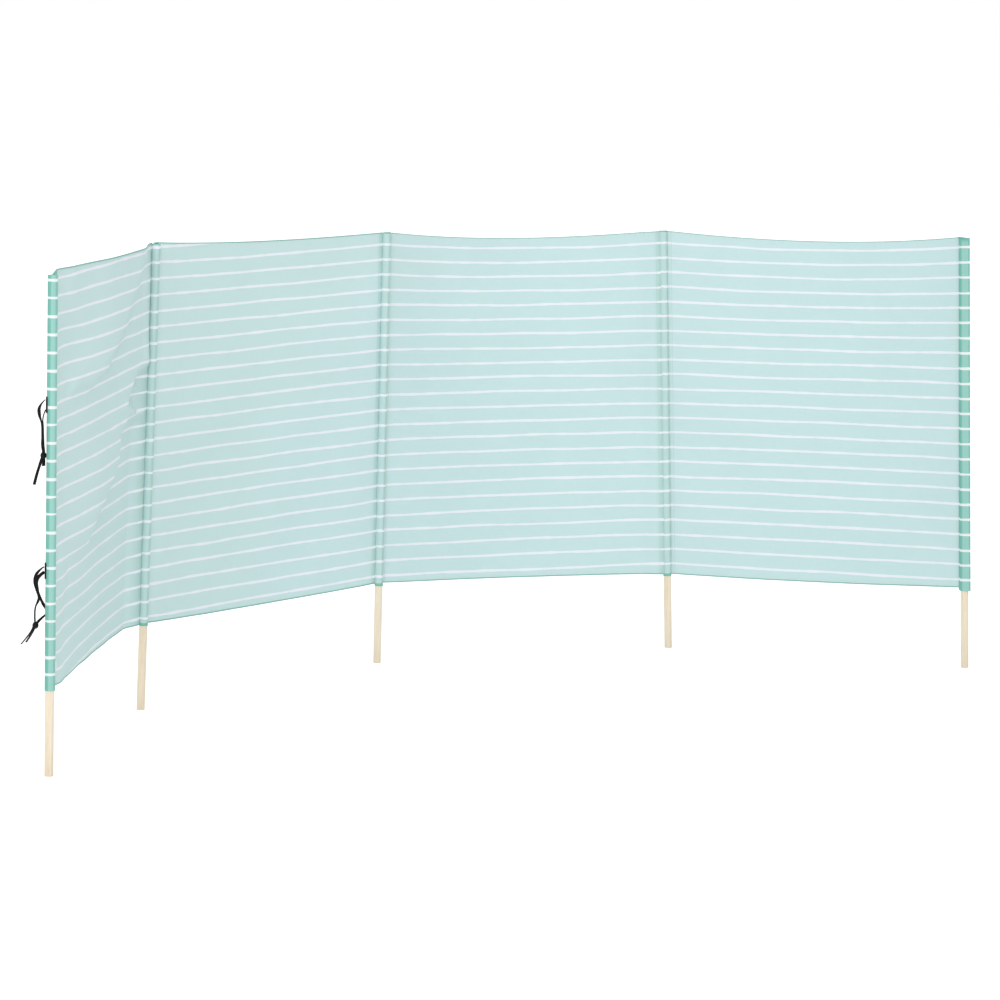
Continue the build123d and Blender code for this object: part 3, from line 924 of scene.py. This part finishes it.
def end_sleeve(pole):
    """The sleeve of an end pole: the cloth goes round the pole and its two layers meet at a seam. It
    hangs looser towards its foot on the first pole, and stands out in a flat fold on the last."""
    first = pole == POLES[0]
    bay = BAYS[0] if first else BAYS[-1]
    ahead = bay_ahead(bay) if first else -bay_ahead(bay)
    along, out = pole_sides(pole, ahead)
    if not first:
        out = -out
    span = bay_ends(bay)[2]
    seam = SLEEVE_SEAMS[0 if first else 1]
    tip = seam - WEB
    fold = LOOSE if first else FOLD_REACH
    touch = acos(LOOSE / tip)
    turn = acos((LOOSE - FOLD_RADIUS) / (fold - FOLD_RADIUS))
    flank = sqrt(tip ** 2 - LOOSE ** 2)
    reach = sqrt((fold - FOLD_RADIUS) ** 2 - (LOOSE - FOLD_RADIUS) ** 2)
    lengths = [FOLD_RADIUS * turn, reach, LOOSE * (pi - touch - turn), flank, WEB]
    half_girth = sum(lengths)

    def section(run):
        """Half of the section, from the fold round the pole to the seam."""
        if run < lengths[0]:
            angle = pi - run / FOLD_RADIUS
            return FOLD_RADIUS - fold + FOLD_RADIUS * cos(angle), FOLD_RADIUS * sin(angle)
        run -= lengths[0]
        if run < reach:
            gone = run / reach
            return (mix(FOLD_RADIUS - fold, 0.0, gone) - mix(FOLD_RADIUS, LOOSE, gone) * cos(turn),
                    mix(FOLD_RADIUS, LOOSE, gone) * sin(turn))
        run -= reach
        if run < lengths[2]:
            angle = pi - turn - run / LOOSE
            return LOOSE * cos(angle), LOOSE * sin(angle)
        run -= lengths[2]
        if run < flank:
            left = 1.0 - run / flank
            return mix(tip, LOOSE * cos(touch), left), LOOSE * sin(touch) * left
        return tip + run - flank, 0.0

    def deep(run, side, height):
        """How much painted shade a point gets: 1 where the cloth stands clear of the pole, and more where
        it is double too.
        """
        down = sleeve_tops[pole] - height
        # Painted shade on the first sleeve where it stands clear of the pole, near its top and along its
        # inner edge; on the last one by its seam, at its fold and near its top
        if first:
            clear = smooth(*FIRST_ROUND, side * run)
            return clear * (1.0 + smooth(*FIRST_TOP, down)) + 0.6 * smooth(*FIRST_INNER, -side * run)
        return (smooth(*LAST_SEAM, half_girth - run) + smooth(*LAST_FOLD, run)
                + smooth(*LAST_TOP, down))

    def outline(around, height):
        share = seam / span if first else 1.0 - seam / span
        edge = cloth_point(bay, share, height) - on_pole(pole, height)
        lean = atan2(edge.dot(out), edge.dot(along))
        run = abs(around - 0.5) * 2.0 * half_girth
        side = 1.0 if around > 0.5 else -1.0
        x, y = section(run)
        y = max(y, 0.0) + LAYER_HALF * smooth(0.0, tip, x)
        if first and side < 0.0:
            y *= 1.0 + SLACK * smooth(*SLACK_HEIGHTS, height)
        y = side * y + END_RIPPLE * noise.noise((around * 6.0, height * 12.0, 5.0 + pole))
        return (x * cos(lean) - y * sin(lean), x * sin(lean) + y * cos(lean),
                pole * PRINT_STEP + side * run, POCKET_ROW + half_girth - run - END_ROW,
                deep(run, side, height))

    def top_line(x):
        return mix(sleeve_tops[pole] + SHUT_LIP, cloth_tops[pole], smooth(-fold, seam, x))

    piece = sleeve_cloth(pole, END_COLUMNS, along, out, outline, top_line, [cloth_print, cloth_reverse])
    return piece, 2.0 * half_girth


for pole in POLES:
    piece, girth = end_sleeve(pole) if pole in (POLES[0], POLES[-1]) else pocket(pole)
    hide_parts(f"sleeve_{pole + 1}")
    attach(piece, body_of[f"sleeve_{pole + 1}"])


# POLES
# Plain softwood dowels, turned and sanded, their square-sawn ends just eased. They carry no finish:
# fine grain runs along them, and each is a little greyer towards its foot.
DOWEL_RADIUS = 0.0125
EASED = 0.0008
LEVEL = 0.001                 # an edge whose ends differ less than this in height is a rim's
GRAIN_STREAKS = (130.0, 130.0, 3.0)                   # in a metre, both ways across and along
GRAIN_PORES = (900.0, 900.0, 22.0)
GRAIN_OFFSET, GRAIN_STEP = 0.37, 3.1                  # so that no two dowels have the same grain
WOOD_DARK, WOOD_LIGHT, WOOD_PORE = shade(226, 209, 181), shade(243, 231, 211), shade(190, 164, 128)
# Greyer towards the foot of each dowel, over its lowest tenth of a metre
FOOT_GREY, FOOT_GREY_HEIGHT = shade(203, 191, 170), 0.10
WOOD_RELIEF = 0.0002


def wood_group():
    """Grain along a dowel: long dark and light streaks, and fine pores."""
    group, given, out = new_group(
        "dowel_grain", [("Place", "Vector"), ("Offset", "Float")], [("Streak", "Float"), ("Pore", "Float")])
    offset = put(group, "CombineXYZ", *[given.outputs["Offset"]] * 3).outputs[0]
    moved = put(group, "VectorMath", given.outputs["Place"], offset, operation="ADD").outputs[0]
    group.links.new(streaks(group, moved, GRAIN_STREAKS, 4.0, 0.6), out.inputs["Streak"])
    group.links.new(streaks(group, moved, GRAIN_PORES, 2.0), out.inputs["Pore"])
    return group


def wood_finish():
    """Softwood by the turned note, which is a point's place on its dowel before that is stood up."""
    finish, tree, shader = new_finish("sanded_softwood", 0.62)
    place = put(tree, "Attribute", attribute_name="turned").outputs["Vector"]
    parts = put(tree, "SeparateXYZ", place).outputs
    grain = use_group(tree, dowel_grain, place, GRAIN_OFFSET)
    streak = put(tree, "MapRange", grain.outputs["Streak"], 0.30, 0.70).outputs[0]
    colour = tint(tree, streak, WOOD_DARK, WOOD_LIGHT)
    pore = put(tree, "MapRange", grain.outputs["Pore"], 0.56, 0.72).outputs[0]
    colour = tint(tree, reckon(tree, "MULTIPLY", pore, 0.35), colour, WOOD_PORE)
    foot_grey = put(tree, "MapRange", parts[2], FOOT_GREY_HEIGHT, 0.0, 0.0, 0.30, interpolation_type="SMOOTHSTEP")
    colour = tint(tree, foot_grey.outputs[0], colour, FOOT_GREY)
    height = reckon(tree, "SUBTRACT", grain.outputs["Streak"], pore)
    finish_with(tree, shader, colour, height, WOOD_RELIEF)
    return finish


dowel_grain = wood_group()
sanded_softwood = wood_finish()


def dowel(pole):
    """A dowel, made upright from the ground, eased at its two rims and then leant on its foot."""
    low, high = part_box(f"pole_{pole + 1}")
    foot, axis = pole_lines[pole]
    length = (high[2] - tilt_rise(pole, DOWEL_RADIUS)) / axis.z
    bpy.ops.object.select_all(action="DESELECT")
    bpy.ops.mesh.primitive_cylinder_add(vertices=64, radius=DOWEL_RADIUS, depth=length,
                                        location=(0.0, 0.0, length / 2), end_fill_type="NGON")
    piece = bpy.context.object
    piece.name = piece.data.name = f"pole_{pole + 1}_dowel"
    piece.data.transform(piece.matrix_world)
    piece.matrix_world = Matrix.Identity(4)
    edit(piece)
    bpy.ops.mesh.select_mode(type="EDGE")
    bpy.ops.mesh.select_all(action="DESELECT")
    bpy.ops.object.mode_set(mode="OBJECT")
    for edge in piece.data.edges:
        ends = [piece.data.vertices[v].co.z for v in edge.vertices]
        edge.select = abs(ends[0] - ends[1]) < LEVEL
    bpy.ops.object.mode_set(mode="EDIT")
    bpy.ops.mesh.bevel(offset=EASED, segments=3, affect="EDGES")
    bpy.ops.object.mode_set(mode="OBJECT")
    turned = piece.data.attributes.new("turned", "FLOAT_VECTOR", "POINT")
    turned.data.foreach_set("vector", [c + (GRAIN_STEP * pole if n == 0 else 0.0)
                                       for v in piece.data.vertices for n, c in enumerate(v.co)])
    lean = Vector((0.0, 0.0, 1.0)).rotation_difference(axis).to_matrix().to_4x4()
    piece.data.transform(Matrix.Translation(foot) @ lean)
    piece.data.materials.append(sanded_softwood)
    return apply_all(piece)


for pole in POLES:
    piece = dowel(pole)
    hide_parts(f"pole_{pole + 1}")
    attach(piece, body_of[f"pole_{pole + 1}"])


# TIES: PATCHES
# A folded end of the same black tape is sewn flat to the outer side of the first sleeve, with a box
# of stitches, and holds the two tapes of its tie.
PATCH_WIDTH, PATCH_HEIGHT = 0.024, 0.044
PATCH_RADIUS = 0.0148         # from the pole's axis to the middle of the patch
PATCH_THICKNESS = 0.0014
PATCH_SOFT = 0.0004           # how far its edges are rounded
PATCH_COLUMNS, PATCH_ROWS = 16, 24
BOX_INSET = 0.003             # from its edge to the box of stitches
PATCH_THREAD = shade(52, 54, 56)


def patch_finish():
    """Black tape with a box of stitches near its edges, and a cross from corner to corner."""
    finish, tree, shader = new_finish("patch_tape", *TAPE_SURFACE)
    own = put(tree, "UVMap").outputs[0]
    place = put(tree, "SeparateXYZ", own).outputs
    weave = use_group(tree, plain_weave, own, TAPE_YARN)
    side = reckon(tree, "ABSOLUTE", place[0])
    end = reckon(tree, "ABSOLUTE", place[1])
    upright = reckon(tree, "SUBTRACT", side, PATCH_WIDTH / 2 - BOX_INSET)
    level = reckon(tree, "SUBTRACT", end, PATCH_HEIGHT / 2 - BOX_INSET)
    cross = reckon(tree, "MULTIPLY_ADD", side, PATCH_HEIGHT / PATCH_WIDTH,
                   reckon(tree, "MULTIPLY", end, -1.0))
    rows = [use_group(tree, stitch_row, *feeds).outputs[0]
            for feeds in ((upright, place[1]), (level, place[0]), (cross, place[1]))]
    stitches = reckon(tree, "MAXIMUM", rows[0], reckon(tree, "MAXIMUM", rows[1], rows[2]))
    colour = tint(tree, weave.outputs["Slub"], TAPE_BLACK, TAPE_WORN)
    colour = tint(tree, stitches, colour, PATCH_THREAD)
    height = reckon(tree, "MULTIPLY_ADD", stitches, 2.0, weave.outputs["Height"])
    finish_with(tree, shader, colour, height, TAPE_RELIEF)
    return finish


patch_tape = patch_finish()
for tie in ("upper_tie", "lower_tie"):
    low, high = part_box(tie + "_patch")
    middle = (low[2] + high[2]) / 2

    def place(across, up):
        side, rise = (across - 0.5) * PATCH_WIDTH, (up - 0.5) * PATCH_HEIGHT
        angle = pi + side / PATCH_RADIUS
        radial = Vector((cos(angle), sin(angle), 0.0)) * PATCH_RADIUS
        return on_pole(0, middle + rise) + radial, (side, rise)

    piece = lay_cloth(tie + "_patch_tape", PATCH_COLUMNS, PATCH_ROWS, place, [patch_tape])
    thicken(piece, PATCH_THICKNESS, 1.0)
    soften = piece.modifiers.new("soft_edge", "BEVEL")
    soften.width = PATCH_SOFT
    soften.segments = 2
    apply_all(piece)
    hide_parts(tie + "_patch")
    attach(piece, body_of["pole_1"])


# SEAM TAB
# A short end of plain white tape, folded double and caught in the first sleeve's seam near its foot.
# Its two layers part a little at the fold.
TAB_THICKNESS = 0.0005
TAB_COLUMNS, TAB_ROWS = 30, 16
TAB_REACH = 0.012             # how long each of its two layers is
TAB_OPEN = 0.0011             # between the tab's two layers at its fold
TAB_TUCK = 0.001              # how far its ends go into the seam
TAB_OFF = 0.0022              # from the cloth's middle to its nearer layer
TAB_YARN, TAB_RELIEF = 0.0007, 0.00008


def tab_finish():
    finish, tree, shader = new_finish("white_tape", 0.8, 0.1)
    own = put(tree, "UVMap").outputs[0]
    weave = use_group(tree, plain_weave, own, TAB_YARN)
    colour = tint(tree, weave.outputs["Slub"], shade(226, 228, 228), shade(250, 250, 250))
    finish_with(tree, shader, colour, weave.outputs["Height"], TAB_RELIEF)
    return finish


tab_low, tab_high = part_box("seam_tab")
tab_span = bay_ends(BAYS[0])[2]


def tab_place(around, up):
    """A point of the tab: out along its nearer layer, round the fold and back along the other."""
    bend = pi * TAB_OPEN / 2
    run = around * (2.0 * TAB_REACH + bend)
    if run < TAB_REACH:
        along, off = run, -0.5
    elif run < TAB_REACH + bend:
        turn = (run - TAB_REACH) / bend * pi
        along, off = TAB_REACH + TAB_OPEN / 2 * sin(turn), -0.5 * cos(turn)
    else:
        along, off = 2.0 * TAB_REACH + bend - run, 0.5
    height = mix(tab_low[2], tab_high[2], up)
    share = (SLEEVE_SEAMS[0] - TAB_TUCK + along) / tab_span
    inner = -(TAB_OFF + TAB_OPEN * (0.5 + off) * smooth(0.0, TAB_REACH, along))
    return cloth_point(0, share, height) + cloth_outward(0, share, height) * inner, (run, height)


tab = lay_cloth("seam_tab_tape", TAB_COLUMNS, TAB_ROWS, tab_place, [tab_finish()])
thicken(tab, TAB_THICKNESS)
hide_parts("seam_tab")
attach(tab, body_of["seam_tab"])


# STAGE
# A plain white floor and white surroundings, lit evenly, with one broad soft lamp high in front. Both
# are pure white to the eye, and light the strip a little less than that.
FLOOR_SIZE = 200.0
FLOOR_GLOW = 0.40             # what it adds of its own, to the eye and in reflections
BOARD_WHITE = (0.90, 0.90, 0.90, 1.0)
WHITE = (1.0, 1.0, 1.0, 1.0)
SKY_LIGHT = 0.90              # how strongly the surroundings light the strip
KEY_PLACE, KEY_AIM = (-0.8, -9.0, 4.8), (0.4, -0.4, 0.7)
KEY_SIZE, KEY_POWER = 5.0, 245.0


def looked_at(tree):
    """1 to the camera and in reflections, 0 for the light that falls on the strip."""
    paths = put(tree, "LightPath").outputs
    return reckon(tree, "MAXIMUM", paths["Is Camera Ray"],
                  reckon(tree, "MAXIMUM", paths["Is Glossy Ray"], paths["Is Transmission Ray"]))


def floor_finish():
    """White board. To the eye it glows a little, so that it meets the backdrop without a line."""
    finish = bpy.data.materials.new("floor_white")
    finish.use_nodes = True
    tree = finish.node_tree
    tree.nodes.clear()
    board = put(tree, "BsdfDiffuse", BOARD_WHITE)
    glow = put(tree, "Emission", WHITE, reckon(tree, "MULTIPLY", looked_at(tree), FLOOR_GLOW))
    put(tree, "OutputMaterial", put(tree, "AddShader", board.outputs[0], glow.outputs[0]).outputs[0])
    return finish


bpy.ops.object.select_all(action="DESELECT")
bpy.ops.mesh.primitive_plane_add(size=FLOOR_SIZE, location=(0.0, 0.0, 0.0))
ground = bpy.context.object
ground.name = "floor"
ground.data.materials.append(floor_finish())

world = bpy.data.worlds.new("surroundings")
bpy.context.scene.world = world
world.use_nodes = True
sky = world.node_tree
sky.nodes.clear()
light = put(sky, "Background", WHITE, SKY_LIGHT)
backdrop = put(sky, "Background", WHITE, 1.0)
both = put(sky, "MixShader", looked_at(sky), light.outputs[0], backdrop.outputs[0])
put(sky, "OutputWorld", both.outputs[0])


def lamp(name, place, aim, size, power):
    """A large square soft lamp that faces a point."""
    light = bpy.data.lights.new(name, "AREA")
    light.size = size
    light.energy = power
    holder = bpy.data.objects.new(name, light)
    holder.location = place
    holder.rotation_euler = (Vector(aim) - Vector(place)).to_track_quat("-Z", "Y").to_euler()
    bpy.context.scene.collection.objects.link(holder)


lamp("soft_key", KEY_PLACE, KEY_AIM, KEY_SIZE, KEY_POWER)
bpy.context.scene.view_settings.view_transform = "Standard"
